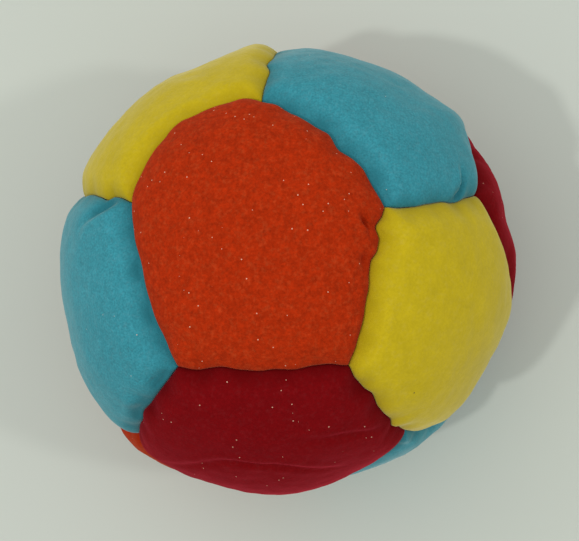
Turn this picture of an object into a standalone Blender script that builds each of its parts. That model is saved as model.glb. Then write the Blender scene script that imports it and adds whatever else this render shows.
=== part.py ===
"""A sewn footbag of twelve suede panels, filled with sand, as it lies on a table.

The twelve panels are five-sided and meet three at a corner, like a dodecahedron's faces. Each panel is one
cut piece: a crowned face, an edge rolled over all round, and a seam allowance turned into the bag. The two
allowances of each seam lie back to back, and one thread runs through both in hand stitches, with a knot at
each end. Loose sand fills the bag, with a channel in it along each seam. The bag has slumped a little, so
it is wider than it is high and lies flat on its base panel.

Units are metres, and +Z is up. The origin is on the table, under the middle of the bag. The front is -Y.
"""

import math

import bmesh
import bpy
import numpy as np
from mathutils import Vector

MM = 0.001

# The bag as it lies. The width is across the seams at the waist, which the panels' crowns stand out from.
SEAM_WIDTH = 47.5 * MM
BAG_HEIGHT = 42.5 * MM
WAIST_HEIGHT = 17.5 * MM
CROWN = 2.0 * MM

# The suede and the seams
SUEDE_THICKNESS = 0.9 * MM
SEAM_GAP = 0.3 * MM
SEAM_BITE = 0.6 * MM
RAW_MARGIN = 0.8 * MM
ROLL_REACH = 1.3 * MM
ROLL_HEIGHT = 1.0 * MM
PUCKER_DEPTH = 0.35 * MM
CORNER_ROUND = 0.15 * MM

# The thread
THREAD_DIAMETER = 0.4 * MM
KNOT_DIAMETER = 0.8 * MM
KNOT_LENGTH = 0.8 * MM
HOLE_CLEARANCE = 0.25 * MM
THREAD_CLEARANCE = 0.2 * MM
STITCHES_PER_SEAM = 4

# The sand
FILL_CLEARANCE = 0.3 * MM

# The seam net is the surface that the seams lie in, with every crown taken away. Its cross-section is a
# superellipse above the waist and a fuller one below it, where the sand has settled. At the base the net
# stands above the table by a share of the crown, and the table presses the rest of the crown flat.
TOP_FULLNESS = 2.2
BASE_FULLNESS = 2.8
BASE_LIFT_SHARE = 0.5
NET_RADIUS = SEAM_WIDTH / 2
NET_TOP = BAG_HEIGHT - CROWN
NET_BASE = BASE_LIFT_SHARE * CROWN

# Sizes that follow from those above
NEEDLE_HOLE = THREAD_DIAMETER + 2 * HOLE_CLEARANCE
HOLE_TOP = SEAM_BITE
HOLE_BOTTOM = HOLE_TOP + NEEDLE_HOLE
STITCH_LINE = (HOLE_TOP + HOLE_BOTTOM) / 2
SEAM_ALLOWANCE = HOLE_BOTTOM + RAW_MARGIN
FACE_SIDE = SEAM_GAP / 2
BACK_SIDE = FACE_SIDE + SUEDE_THICKNESS
THREAD_SIDE = BACK_SIDE + THREAD_CLEARANCE + THREAD_DIAMETER / 2
KNOT_REACH = THREAD_SIDE - THREAD_DIAMETER / 2 + KNOT_DIAMETER
CHANNEL_SIDE = KNOT_REACH + FILL_CLEARANCE
CHANNEL_DEPTH = SEAM_ALLOWANCE + FILL_CLEARANCE
FILL_SINK = SUEDE_THICKNESS + FILL_CLEARANCE
WELD_REACH = FILL_CLEARANCE / 100

# A dodecahedron standing on a face has its corners in four tiers of five. These are the tiers' angles down
# from the top, and the compass angles of the first corner of each.
TOP_TIER = math.acos(math.sqrt((5 + 2 * math.sqrt(5)) / 15))
UPPER_TIER = math.acos(math.sqrt((5 - 2 * math.sqrt(5)) / 15))
SIDES = 5
TURN = 2 * math.pi / SIDES
FIRST_FRONT = -math.pi / 2
FIRST_BETWEEN = FIRST_FRONT + TURN / 2

# Hand cutting and sewing put the corners of the upper two tiers a few degrees off the regular places. Each
# pair is degrees round and degrees down, from the front right corner round the compass.
TOP_DRIFT = ((1.7, 2.9), (0.1, -2.1), (0.6, 4.2), (-2.1, 1.0), (1.4, 1.1))
UPPER_DRIFT = ((1.5, 0.8), (0.2, -1.8), (0.2, -0.1), (-1.6, -0.4), (-2.9, 0.7))

# How far the middle of a seam bows out of line, as shares of its length. The top panel's seams bow out from
# its middle, from the right seam round the compass. The seams down from its corners bow round the compass.
TOP_BOW_SHARES = (-0.03, 0.055, 0.08, -0.01, -0.03)
SIDE_BOW_SHARES = (-0.02, -0.04, 0.0, 0.02, -0.02)

# Rings on a panel's face, as shares of the way from its middle to its edge
INNER_RING_SHARE = 0.36
OUTER_RING_SHARE = 0.7

# A seam's end stretches with no stitch in them, as a share of the pitch
END_SHARE = 0.8
MERIDIAN_STEPS = 400
THREAD_SIDES = 4
SHARPEST_MITRE_SHARE = 0.5
SHARP_ANGLE = math.radians(50)

SUEDE_COLOURS = {"orange": "D8481C", "yellow": "E6CC28", "teal": "48A2B0", "red": "8C1120"}
UPPER_COLOURS = ("red", "yellow", "teal", "yellow", "teal")
UPPER_PLACES = ("front", "right", "back_right", "back_left", "left")
LOWER_COLOURS = ("teal", "red", "orange", "red", "orange")
LOWER_PLACES = ("front_right", "right", "back", "left", "front_left")


def clear_scene():
    """Removes whatever the scene holds."""
    for old in list(bpy.data.objects):
        bpy.data.objects.remove(old)


def finish(name, colour_hex, roughness):
    """A plain surface finish in an sRGB colour."""
    linear = []
    for i in (0, 2, 4):
        share = int(colour_hex[i : i + 2], 16) / 255
        linear.append(share / 12.92 if share <= 0.04045 else ((share + 0.055) / 1.055) ** 2.4)
    material = bpy.data.materials.new(name)
    material.use_nodes = True
    shader = material.node_tree.nodes["Principled BSDF"]
    shader.inputs["Base Color"].default_value = (*linear, 1.0)
    shader.inputs["Roughness"].default_value = roughness
    shader.inputs["Metallic"].default_value = 0.0
    return material


def meridian():
    """The net's outline from the top to the base: radii, heights and the length run so far."""
    angle = np.linspace(0, math.pi / 2, MERIDIAN_STEPS)
    sine, cosine = np.sin(angle), np.cos(angle)
    upper, lower = 2 / TOP_FULLNESS, 2 / BASE_FULLNESS
    top_rise = NET_TOP - WAIST_HEIGHT
    base_drop = WAIST_HEIGHT - NET_BASE
    radii = np.concatenate([NET_RADIUS * sine**upper, NET_RADIUS * cosine[1:] ** lower])
    heights = np.concatenate(
        [WAIST_HEIGHT + top_rise * cosine**upper, WAIST_HEIGHT - base_drop * sine[1:] ** lower]
    )
    steps = np.hypot(np.diff(radii), np.diff(heights))
    return radii, heights, np.concatenate([[0.0], np.cumsum(steps)])


RADII, HEIGHTS, RUNS = meridian()


def on_net(direction):
    """The net's point and outward normal in a direction of the regular solid.

    Suede hardly stretches, so an angle down from the top becomes the same share of the outline's length.
    """
    run = math.acos(max(-1.0, min(1.0, direction.z))) / math.pi * RUNS[-1]
    compass = math.atan2(direction.y, direction.x)
    radius, height = np.interp(run, RUNS, RADII), np.interp(run, RUNS, HEIGHTS)
    step = RUNS[-1] / MERIDIAN_STEPS
    ahead, behind = min(run + step, RUNS[-1]), max(run - step, 0.0)
    out = np.interp(ahead, RUNS, RADII) - np.interp(behind, RUNS, RADII)
    down = np.interp(behind, RUNS, HEIGHTS) - np.interp(ahead, RUNS, HEIGHTS)
    if behind == 0.0 or ahead == RUNS[-1]:
        down = 0.0
    length = math.hypot(out, down)
    side = Vector((math.cos(compass), math.sin(compass), 0.0))
    up = Vector((0.0, 0.0, 1.0))
    return side * radius + up * height, side * (down / length) + up * (out / length)


def toward(angle_down, compass):
    """The unit direction at an angle down from the top and a compass angle."""
    return Vector(
        (
            math.sin(angle_down) * math.cos(compass),
            math.sin(angle_down) * math.sin(compass),
            math.cos(angle_down),
        )
    )


def corner_directions():
    """The twenty corners, by tier and place round the bag."""
    corners = {}
    for k in range(SIDES):
        right_of_front = FIRST_BETWEEN + k * TURN
        front = FIRST_FRONT + k * TURN
        for tier, angle_down, drift in (("top", TOP_TIER, TOP_DRIFT), ("upper", UPPER_TIER, UPPER_DRIFT)):
            round_by, down_by = (math.radians(degrees) for degrees in drift[k])
            corners[tier, k] = toward(angle_down + down_by, right_of_front + round_by)
        corners["lower", k] = toward(math.pi - UPPER_TIER, front)
        corners["base", k] = toward(math.pi - TOP_TIER, front)
    return corners


def panel_plan():
    """Each panel's name, colour and five corners, in order round its outer face."""
    plan = [("top_panel", "orange", [("top", k) for k in range(SIDES)])]
    for k in range(SIDES):
        before = (k - 1) % SIDES
        loop = [("top", before), ("upper", before), ("lower", k), ("upper", k), ("top", k)]
        plan.append((f"upper_{UPPER_PLACES[k]}_panel", UPPER_COLOURS[k], loop))
    for k in range(SIDES):
        after = (k + 1) % SIDES
        loop = [("upper", k), ("lower", k), ("base", k), ("base", after), ("lower", after)]
        plan.append((f"lower_{LOWER_PLACES[k]}_panel", LOWER_COLOURS[k], loop))
    plan.append(("base_panel", "yellow", [("base", k) for k in reversed(range(SIDES))]))
    return plan


def between(start, end, share):
    """The direction part of the way along the arc from one direction to another."""
    angle = start.angle(end)
    return (start * math.sin((1 - share) * angle) + end * math.sin(share * angle)) / math.sin(angle)


class Seam:
    """The line from one corner to another, bowed to its left by a share of its length."""

    def __init__(self, start, end, bow):
        self.start, self.end, self.bow = start, end, bow

    def direction(self, share):
        """The direction of the point at a share of the way along."""
        left = self.start.cross(self.end).normalized()
        rise = self.bow * self.start.angle(self.end) * math.sin(math.pi * share)
        return (between(self.start, self.end, share) + left * rise).normalized()

    def length(self):
        """The length of the line along the net."""
        shares = np.linspace(0, 1, 2 * STITCHES_PER_SEAM + 1)
        points = [on_net(self.direction(float(share)))[0] for share in shares]
        return sum((b - a).length for a, b in zip(points, points[1:]))


def seam_bows():
    """The bows of the seams that have one, each to the left of the way from its first corner to its second."""
    bows = {}
    for k in range(SIDES):
        bows["top", k, "top", (k + 1) % SIDES] = -TOP_BOW_SHARES[k]
        bows["top", k, "upper", k] = SIDE_BOW_SHARES[k]
    return bows


def seam_between(directions, start, end):
    """The seam from one named corner to another."""
    bows = seam_bows()
    bow = bows.get(start + end, -bows.get(end + start, 0.0))
    return Seam(directions[start], directions[end], bow)


def stitch_shares():
    """Where the stitches pass through a seam, as shares of its length."""
    whole = STITCHES_PER_SEAM - 1 + 2 * END_SHARE
    return [(END_SHARE + i) / whole for i in range(STITCHES_PER_SEAM)]


class EdgePoint:
    """A place on a seam: its direction, its net point and normal, and the way to the seam's left."""

    def __init__(self, seam, share, along):
        self.along = along
        self.direction = seam.direction(share)
        self.point, self.normal = on_net(self.direction)
        step = 1 / MERIDIAN_STEPS
        ahead = on_net(seam.direction(share + step))[0]
        behind = on_net(seam.direction(share - step))[0]
        self.inward = self.normal.cross((ahead - behind).normalized()).normalized()
        self.spread = 1.0
        self.round_in = 0.0

    def turn_corner(self, other):
        """Makes this the corner between its own edge and another edge's end."""
        inward = (self.inward + other.inward).normalized()
        self.spread = 1 / inward.dot(self.inward)
        self.inward = inward
        self.round_in = CORNER_ROUND

    def place(self, side, rise):
        """The point this far into the panel from the seam's middle and this far above the net."""
        return self.point + self.inward * (side * self.spread + self.round_in) + self.normal * rise


def edge_ring(seams, shares):
    """EdgePoints round a panel: each corner, and the given shares of each seam."""
    ring = []
    for i, seam in enumerate(seams):
        corner = EdgePoint(seam, 0.0, i)
        corner.turn_corner(EdgePoint(seams[i - 1], 1.0, i))
        ring.append(corner)
        ring += [EdgePoint(seam, share, i + share) for share in shares(seam)]
    return ring


def hole_shares(seam):
    """Both sides of each needle hole, as shares of the seam."""
    half = NEEDLE_HOLE / 2 / seam.length()
    return [at + side for at in stitch_shares() for side in (-half, half)]


def pucker_shares(seam):
    """Each stitch and each place midway between two, as shares of the seam."""
    at = stitch_shares()
    return sorted(at + [(a + b) / 2 for a, b in zip(at, at[1:])])


def quarter_shares(seam):
    """Three places that split a seam into four, as shares of it."""
    return [0.25, 0.5, 0.75]


def half_shares(seam):
    """The middle of a seam, as a share of it."""
    return [0.5]


def crown_rise(share):
    """How far a panel's face stands above the net, at a share of the way from its middle to its edge."""
    return ROLL_HEIGHT + (CROWN - ROLL_HEIGHT) * (1 - share**2)


def rested(point, least_height):
    """The point, lifted to the table or to a height above it."""
    return Vector((point.x, point.y, max(point.z, least_height)))


def zip_rings(bm, first, second, turned=False):
    """Fills between two closed rings of (vertex, along) with triangles, stepping along both together."""
    i = j = 0
    while i < len(first) or j < len(second):
        a, b = first[i % len(first)][0], second[j % len(second)][0]
        next_i = first[i + 1][1] if i + 1 < len(first) else SIDES
        next_j = second[j + 1][1] if j + 1 < len(second) else SIDES
        if j == len(second) or (i < len(first) and next_i <= next_j):
            i += 1
            corner = first[i % len(first)][0]
        else:
            j += 1
            corner = second[j % len(second)][0]
        bm.faces.new((b, a, corner) if turned else (a, b, corner))


def fan(bm, middle, ring, turned=False):
    """Fills a closed ring with triangles round a middle vertex."""
    for (a, _), (b, _) in zip(ring, ring[1:] + ring[:1]):
        bm.faces.new((middle, b, a) if turned else (middle, a, b))


def add_ring(bm, points):
    """Vertices at (point, along) pairs."""
    return [(bm.verts.new(point), along) for point, along in points]


def add_crown(bm, middle, halves, quarters, sink, turned=False):
    """The crowned middle of a panel's face, or of what lies under it by the given sink."""
    point, normal = on_net(middle)
    centre = bm.verts.new(rested(point + normal * (CROWN - sink), sink))
    rings = []
    for share, edge_points in ((INNER_RING_SHARE, halves), (OUTER_RING_SHARE, quarters)):
        points = []
        for edge in edge_points:
            point, normal = on_net(between(middle, edge.direction, share))
            points.append((rested(point + normal * (crown_rise(share) - sink), sink), edge.along))
        rings.append(add_ring(bm, points))
    fan(bm, centre, rings[0], turned)
    zip_rings(bm, rings[0], rings[1], not turned)
    return rings[1]


def placed_ring(bm, edge_points, side, rise, least_height=0.0):
    """A ring along the edge, at a distance in from the seam and a height above the net."""
    return add_ring(bm, [(rested(e.place(side, rise), least_height), e.along) for e in edge_points])


def puckered_ring(bm, edge_points, side, rise):
    """A ring along the rolled edge, drawn down where each stitch pulls."""
    points = []
    for i, edge in enumerate(edge_points):
        drawn = PUCKER_DEPTH if i % 2 == 1 else 0.0
        points.append((rested(edge.place(side + drawn / 2, rise - drawn), 0.0), edge.along))
    return add_ring(bm, points)


def holed_band(bm, low, high, turned):
    """Fills between the two rings beside the needle holes, leaving the holes open."""
    columns = 2 * STITCHES_PER_SEAM + 1
    for i in range(len(low)):
        if i % columns % 2 == 1:
            continue
        n = (i + 1) % len(low)
        loop = (low[i][0], low[n][0], high[n][0], high[i][0])
        bm.faces.new(tuple(reversed(loop)) if turned else loop)


def line_holes(bm, face_low, face_high, back_low, back_high):
    """Gives each needle hole its four walls through the suede."""
    columns = 2 * STITCHES_PER_SEAM + 1
    for i in range(len(face_low)):
        if i % columns % 2 == 0:
            continue
        n = (i + 1) % len(face_low)
        face = [face_low[i][0], face_low[n][0], face_high[n][0], face_high[i][0]]
        back = [back_low[i][0], back_low[n][0], back_high[n][0], back_high[i][0]]
        for k in range(4):
            m = (k + 1) % 4
            bm.faces.new((face[k], face[m], back[m], back[k]))


def panel_mesh(middle, seams):
    """One suede panel: the crowned face, the rolled edge, the seam allowance and the back of them all."""
    bm = bmesh.new()
    halves = edge_ring(seams, half_shares)
    quarters = edge_ring(seams, quarter_shares)
    puckers = edge_ring(seams, pucker_shares)
    holes = edge_ring(seams, hole_shares)

    face = add_crown(bm, middle, halves, quarters, 0.0)
    shoulder = puckered_ring(bm, puckers, FACE_SIDE + ROLL_REACH, ROLL_HEIGHT)
    roll = puckered_ring(bm, puckers, FACE_SIDE + ROLL_REACH / 3, ROLL_HEIGHT / 2)
    face_high = placed_ring(bm, holes, FACE_SIDE, -HOLE_TOP)
    face_low = placed_ring(bm, holes, FACE_SIDE, -HOLE_BOTTOM)
    face_raw = placed_ring(bm, quarters, FACE_SIDE, -SEAM_ALLOWANCE)
    back_raw = placed_ring(bm, quarters, BACK_SIDE, -SEAM_ALLOWANCE)
    back_low = placed_ring(bm, holes, BACK_SIDE, -HOLE_BOTTOM)
    back_high = placed_ring(bm, holes, BACK_SIDE, -HOLE_TOP)
    bend_rise = ROLL_HEIGHT - SUEDE_THICKNESS
    bend = placed_ring(bm, quarters, BACK_SIDE + ROLL_REACH / 2, bend_rise, SUEDE_THICKNESS)
    back = add_crown(bm, middle, halves, quarters, SUEDE_THICKNESS, True)

    zip_rings(bm, face, shoulder, True)
    zip_rings(bm, shoulder, roll, True)
    zip_rings(bm, roll, face_high, True)
    holed_band(bm, face_low, face_high, False)
    zip_rings(bm, face_low, face_raw, True)
    zip_rings(bm, face_raw, back_raw, True)
    zip_rings(bm, back_raw, back_low, True)
    holed_band(bm, back_low, back_high, True)
    line_holes(bm, face_low, face_high, back_low, back_high)
    zip_rings(bm, back_high, bend, True)
    zip_rings(bm, bend, back, True)
    bmesh.ops.recalc_face_normals(bm, faces=bm.faces)
    return bm


def fill_mesh(panels):
    """The sand: a crowned patch under each panel, and a channel along each seam."""
    bm = bmesh.new()
    for middle, seams in panels:
        halves = edge_ring(seams, half_shares)
        quarters = edge_ring(seams, quarter_shares)
        patch = add_crown(bm, middle, halves, quarters, FILL_SINK)
        brink = placed_ring(bm, quarters, CHANNEL_SIDE, ROLL_HEIGHT - FILL_SINK, FILL_SINK)
        wall_foot = placed_ring(bm, quarters, CHANNEL_SIDE, -CHANNEL_DEPTH)
        for edge in quarters:
            edge.round_in = 0.0
        channel = placed_ring(bm, quarters, 0.0, -CHANNEL_DEPTH)
        zip_rings(bm, patch, brink, True)
        zip_rings(bm, brink, wall_foot, True)
        zip_rings(bm, wall_foot, channel, True)
    bmesh.ops.remove_doubles(bm, verts=bm.verts, dist=WELD_REACH)
    bmesh.ops.recalc_face_normals(bm, faces=bm.faces)
    return bm


def thread_path(seam):
    """The thread's corners with their radii: a knot, then in and out through the holes, and a knot."""
    length = seam.length()
    path = []
    side = 1.0
    shares = stitch_shares()

    def put(share, across, radius):
        edge = EdgePoint(seam, share, share)
        path.append((edge.point + edge.inward * across - edge.normal * STITCH_LINE, radius))

    def put_knot(share, way):
        thin, thick = THREAD_DIAMETER / 2, KNOT_DIAMETER / 2
        near = HOLE_CLEARANCE + thin
        far = near + KNOT_LENGTH
        centre = THREAD_SIDE - thin + thick
        rows = [(0.0, THREAD_SIDE, thin), (near, centre, thick), (near + KNOT_LENGTH / 2, centre, thick)]
        rows.append((far, centre, thin))
        for run, across, radius in rows if way > 0 else reversed(rows):
            put(share + way * run / length, side * across, radius)

    put_knot(shares[0], -1)
    for i, share in enumerate(shares):
        side = -side
        put(share, side * THREAD_SIDE, THREAD_DIAMETER / 2)
        if i + 1 < len(shares):
            put(shares[i + 1], side * THREAD_SIDE, THREAD_DIAMETER / 2)
    path.pop()
    put_knot(shares[-1], 1)
    return path


def thread_mesh(seam):
    """One seam's thread as a tube along its path, mitred at each turn."""
    bm = bmesh.new()
    path = thread_path(seam)
    normal = on_net(seam.direction(0.5))[1]
    rings = []
    for i, (point, radius) in enumerate(path):
        before = (point - path[i - 1][0]).normalized() if i else None
        after = (path[i + 1][0] - point).normalized() if i + 1 < len(path) else None
        way_in, way_out = before or after, after or before
        way = (way_in + way_out).normalized()
        across = normal.cross(way).normalized() / max(way.dot(way_in), SHARPEST_MITRE_SHARE)
        ring = []
        for k in range(THREAD_SIDES):
            turn = 2 * math.pi * (k + 0.5) / THREAD_SIDES
            ring.append(bm.verts.new(point + (across * math.cos(turn) + normal * math.sin(turn)) * radius))
        rings.append(ring)
    for low, high in zip(rings, rings[1:]):
        for k in range(THREAD_SIDES):
            n = (k + 1) % THREAD_SIDES
            bm.faces.new((low[k], low[n], high[n], high[k]))
    bm.faces.new(rings[0])
    bm.faces.new(rings[-1])
    bmesh.ops.recalc_face_normals(bm, faces=bm.faces)
    return bm


def put_in_scene(name, bm, material, origin, parent):
    """Turns a bmesh into a named object whose origin is the given point."""
    bmesh.ops.translate(bm, verts=bm.verts, vec=-origin)
    mesh = bpy.data.meshes.new(name)
    bm.to_mesh(mesh)
    bm.free()
    mesh.shade_smooth()
    mesh.set_sharp_from_angle(angle=SHARP_ANGLE)
    mesh.materials.append(material)
    made = bpy.data.objects.new(name, mesh)
    bpy.context.scene.collection.objects.link(made)
    made.parent = parent
    made.location = origin
    return made


def main():
    clear_scene()
    bag = bpy.data.objects.new("footbag", None)
    bpy.context.scene.collection.objects.link(bag)
    suede = {name: finish(f"suede_{name}", code, 0.95) for name, code in SUEDE_COLOURS.items()}
    waxed_thread = finish("waxed_thread", "E4DECF", 0.6)
    sand = finish("sand", "C9B48C", 1.0)

    directions = corner_directions()
    panels = []
    sewn = {}
    for name, colour, loop in panel_plan():
        middle = sum((directions[key] for key in loop), Vector()).normalized()
        ends = list(zip(loop, loop[1:] + loop[:1]))
        seams = [seam_between(directions, start, end) for start, end in ends]
        panels.append((middle, seams))
        put_in_scene(name, panel_mesh(middle, seams), suede[colour], on_net(middle)[0], bag)
        for pair, seam in zip(ends, seams):
            sewn.setdefault(frozenset(pair), (seam, []))[1].append(name.removesuffix("_panel"))

    for seam, (first, second) in sewn.values():
        origin = on_net(seam.direction(0.5))[0]
        put_in_scene(f"thread_{first}_to_{second}", thread_mesh(seam), waxed_thread, origin, bag)

    put_in_scene("sand_fill", fill_mesh(panels), sand, Vector((0.0, 0.0, WAIST_HEIGHT)), bag)


main()
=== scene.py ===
"""A sewn footbag of twelve suede panels, filled with sand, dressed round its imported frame.

Every piece is built in metres in the frame's own axes: +Z up, the table at zero, the front at -Y. The seams
run on the seam net, a slumped surface of revolution, and everything else is measured from them. A point of a
panel is given by the way from the panel's middle to a place on its seams, and by its height above the net.
"""

import math
from collections import namedtuple

import bpy
import numpy as np
from mathutils import Matrix, Vector


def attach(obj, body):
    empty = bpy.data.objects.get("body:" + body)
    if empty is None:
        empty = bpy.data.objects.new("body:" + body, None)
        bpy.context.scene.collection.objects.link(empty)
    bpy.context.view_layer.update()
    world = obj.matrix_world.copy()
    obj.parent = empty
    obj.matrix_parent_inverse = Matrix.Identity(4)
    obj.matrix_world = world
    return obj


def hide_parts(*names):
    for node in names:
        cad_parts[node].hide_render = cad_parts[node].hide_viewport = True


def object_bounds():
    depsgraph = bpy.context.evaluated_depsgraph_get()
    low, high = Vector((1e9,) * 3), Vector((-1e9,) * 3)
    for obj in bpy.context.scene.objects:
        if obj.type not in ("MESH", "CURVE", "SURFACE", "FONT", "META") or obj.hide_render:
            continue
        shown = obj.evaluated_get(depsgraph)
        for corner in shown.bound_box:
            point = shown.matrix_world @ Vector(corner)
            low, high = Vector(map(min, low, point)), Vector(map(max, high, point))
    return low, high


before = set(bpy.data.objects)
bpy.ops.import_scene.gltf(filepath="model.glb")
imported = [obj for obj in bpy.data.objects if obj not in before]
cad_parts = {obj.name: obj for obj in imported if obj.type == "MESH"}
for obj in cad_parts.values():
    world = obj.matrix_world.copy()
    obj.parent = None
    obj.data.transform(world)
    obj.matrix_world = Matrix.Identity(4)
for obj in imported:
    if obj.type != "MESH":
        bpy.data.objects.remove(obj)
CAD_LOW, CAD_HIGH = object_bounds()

bl_info = {
    "name": "Sewn Footbag",
    "version": (1, 0, 0),
    "blender": (4, 5, 0),
    "location": "View3D > Sidebar > Footbag",
    "description": "Builds a sand-filled footbag of twelve suede panels round its packed frame",
    "category": "Add Mesh",
}

MM = 0.001

# The seam net: the surface that the seams lie in, under every crown
HALF_WIDTH = 23.75 * MM
WAIST_HEIGHT = 17.5 * MM
BAG_HEIGHT = CAD_HIGH.z - CAD_LOW.z
NET_CROWN = 2.0 * MM
TOP_FULLNESS = 2.2
BASE_FULLNESS = 2.8
BASE_LIFT_SHARE = 0.5
MERIDIAN_STEPS = 800

# How far hands and the slumped sand have pushed the waist out of round: (compass degrees, millimetres), the
# width in degrees over which its corners are rounded, and the share of the half width past which it stops
# growing
WAIST_SWELL = (
    (0, 0.45), (6, 0.3), (13, -0.25), (20, 0.18), (28, 0.22), (34, 0.25), (38, 0.65), (42, 0.35),
    (46, -0.22), (51, -0.4), (56, -0.22), (62, -0.42), (70, -0.5), (78, -0.48), (84, -0.62), (88, -0.45),
    (91, -0.1), (94, 0.4), (97, 0.2), (101, -0.45), (106, -0.85), (112, -1.25), (118, -1.0), (124, -0.72),
    (132, -0.85), (140, -0.75), (146, -0.5), (152, -0.3), (157, -0.35), (161, -0.55), (167, -0.45),
    (175, -0.45), (183, -0.6), (191, -0.78), (197, -0.8), (202, -0.6), (207, -0.25), (213, 0.15),
    (222, 0.4), (230, 0.6), (238, 0.5), (246, 0.22), (253, -0.05), (262, -0.2), (270, -0.35), (280, -0.7),
    (290, -1.0), (298, -0.9), (305, -0.65), (312, -0.6), (318, -0.32), (324, -0.35), (331, -0.62),
    (338, -0.4), (345, 0.15), (350, 0.5), (355, 0.4),
)
SWELL_ROUNDING = 9
SWELL_REACH_SHARE = 1.1

# A dodecahedron's four tiers of five corners, and how far sewing put three of them off their places:
# degrees round and degrees down, from the front right corner round the compass
TOP_TIER = math.acos(math.sqrt((5 + 2 * math.sqrt(5)) / 15))
UPPER_TIER = math.acos(math.sqrt((5 - 2 * math.sqrt(5)) / 15))
SIDES = 5
TURN = 2 * math.pi / SIDES
FIRST_FRONT = -math.pi / 2
FIRST_BETWEEN = FIRST_FRONT + TURN / 2
TOP_DRIFT = ((1.7, 2.9), (0.1, -2.1), (0.6, 4.2), (-2.1, 1.0), (1.4, 1.1))
UPPER_DRIFT = ((2.0, 1.4), (0.2, -6.5), (0.2, 8.6), (-1.6, 8.0), (-2.9, 0.2))
LOWER_DRIFT = ((1.4, 6.0), (-2.0, 9.0), (-3.0, 4.0), (0.5, 3.0), (-1.0, 2.5))

# The bow of a seam's middle, as a share of its length. The top panel's seams bow out from its middle, from
# the right seam round the compass. The seams down from its corners bow round the compass.
TOP_BOW_SHARES = (-0.03, 0.055, 0.13, -0.01, -0.03)
SIDE_BOW_SHARES = (-0.02, -0.04, 0.0, 0.02, -0.02)

# The sag of the two seams that run down to each corner under the waist, clockwise of it and past it
WAIST_SAG_SHARES = ((0.08, 0.08), (0.19, -0.04), (0.0, 0.05), (0.05, 0.05), (0.05, 0.04))

# How a seam wanders off its bowed line: (share of its length, millimetres) with the same signs and the same
# order as the bows. The shares run round the compass, and down from the top panel's corners.
TOP_WANDER = (
    ((0.14, 0.35), (0.32, 0.4), (0.47, 0.15), (0.6, -0.5), (0.65, -0.65), (0.72, 0.0), (0.79, 0.0),
     (0.86, -0.95), (0.95, -0.1)),
    ((0.1, 0.0), (0.23, 0.3), (0.33, 0.1), (0.43, -0.45), (0.55, 0.45), (0.7, 0.15), (0.8, 0.2), (0.9, 0.6)),
    ((0.13, 0.6), (0.28, 0.65), (0.42, 0.75), (0.6, 0.45), (0.74, 0.1), (0.88, 0.0)),
    ((0.2, 0.05), (0.36, -0.2), (0.6, 0.1), (0.85, -0.1)),
    ((0.12, 0.25), (0.27, -0.45), (0.4, 0.1), (0.5, 0.12), (0.56, -0.05), (0.68, 0.1), (0.8, -0.4),
     (0.88, -0.55)),
)
SIDE_WANDER = (
    ((0.1, -0.3), (0.2, -0.1), (0.3, 0.5), (0.43, -0.05), (0.56, -0.05), (0.64, 0.1), (0.735, -0.65),
     (0.79, 0.0), (0.86, -0.1)),
    ((0.1, -0.3), (0.22, -0.25), (0.35, 0.05), (0.48, 0.2), (0.62, -0.3), (0.8, 0.05)),
    ((0.08, -0.1), (0.17, -0.25), (0.27, -0.5), (0.37, 0.2), (0.5, -0.3), (0.62, -0.1), (0.8, 0.2)),
    ((0.1, -0.4), (0.15, -0.4), (0.21, 0.3), (0.3, 0.0), (0.4, -0.25), (0.62, 0.1), (0.8, -0.2)),
    ((0.12, 0.1), (0.28, 0.15), (0.42, 0.1), (0.54, -0.25), (0.66, 0.2), (0.82, -0.15)),
)

# The wander of the one seam past a corner under the waist that is in sight, by the corner's place
WAIST_WANDER = {
    1: ((0.12, 0.5), (0.27, -1.5), (0.35, -1.0), (0.44, 0.0), (0.54, 0.8), (0.7, 1.0), (0.88, 0.4)),
}

# Seams that aren't in sight wander at random, at places evenly along them with a little jitter
STRAY_PLACES = np.linspace(0.1, 0.9, 7)
STRAY_JITTER = 0.03
STRAY_WANDER = 0.28
STRAY_LEAN = 0.25

# How far the lips of a seam lean over it, in millimetres, with the same signs: the panel that they lean away
# from stands over its neighbour. The lean eases in from the seam's ends by a power, and holds between two
# heights, as shares of the roll. At the net itself a lip has this share of the wander.
TOP_LEAN = (0.25, 0.35, 0.7, 0.2, 0.3)
SIDE_LEAN = (-0.35, -0.5, 0.15, -0.15, -0.3)
LEAN_POWER = 0.7
LEAN_LIFTS = (-0.5, 1.3)
WANDER_AT_NET_SHARE = 0.6

# How deep the stitching draws each seam of the top panel in, and each seam down from its corners, as a share
# of the roll's height, and the power by which the depth eases in from the seam's ends
TOP_DEPTH_SHARES = (1.0, 1.0, 0.45, 0.85, 0.8)
SIDE_DEPTH_SHARES = (0.9, 0.8, 0.5, 0.65, 1.0)
DEPTH_POWER = 0.5

# How round the rolled edge is: a low power stands up steeply from the seam, and a high one leaves a wide
# valley. The second line is for the panels round the top one, beside its seams.
ROLL_POWER = 0.6
TOP_OUTER_POWERS = (0.65, 1.3, 0.8, 1.3, 0.6)

# Where the stitches pass through a seam, and how unevenly they pull
STITCHES_PER_SEAM = 4
END_SHARE = 0.8
STITCH_SHARES = [(END_SHARE + i) / (STITCHES_PER_SEAM - 1 + 2 * END_SHARE) for i in range(STITCHES_PER_SEAM)]
LOOSEST_PULL, TIGHTEST_PULL = 0.45, 1.25
MOST_PULL = 1.4
SEAM_STEPS = 161

# How far from a seam its stitches, its wander and its painted shade reach, and how its roll blends at the
# corners
PULL_WIDTH = 0.9 * MM
PULL_REACH = 1.6 * MM
SHIFT_REACH = 3.4 * MM
GROOVE_REACH = 2.6 * MM
CORNER_BLEND = 5

# How much shade is painted along a seam, and how much more at a stitch. The rim of the top panel stands over
# its neighbours in the light, so less shade is painted on its own side of its seams.
SEAM_SHADE = 0.75
STITCH_SHADE = 0.6
TOP_RIM_SHADE_SHARE = 0.45

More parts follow.
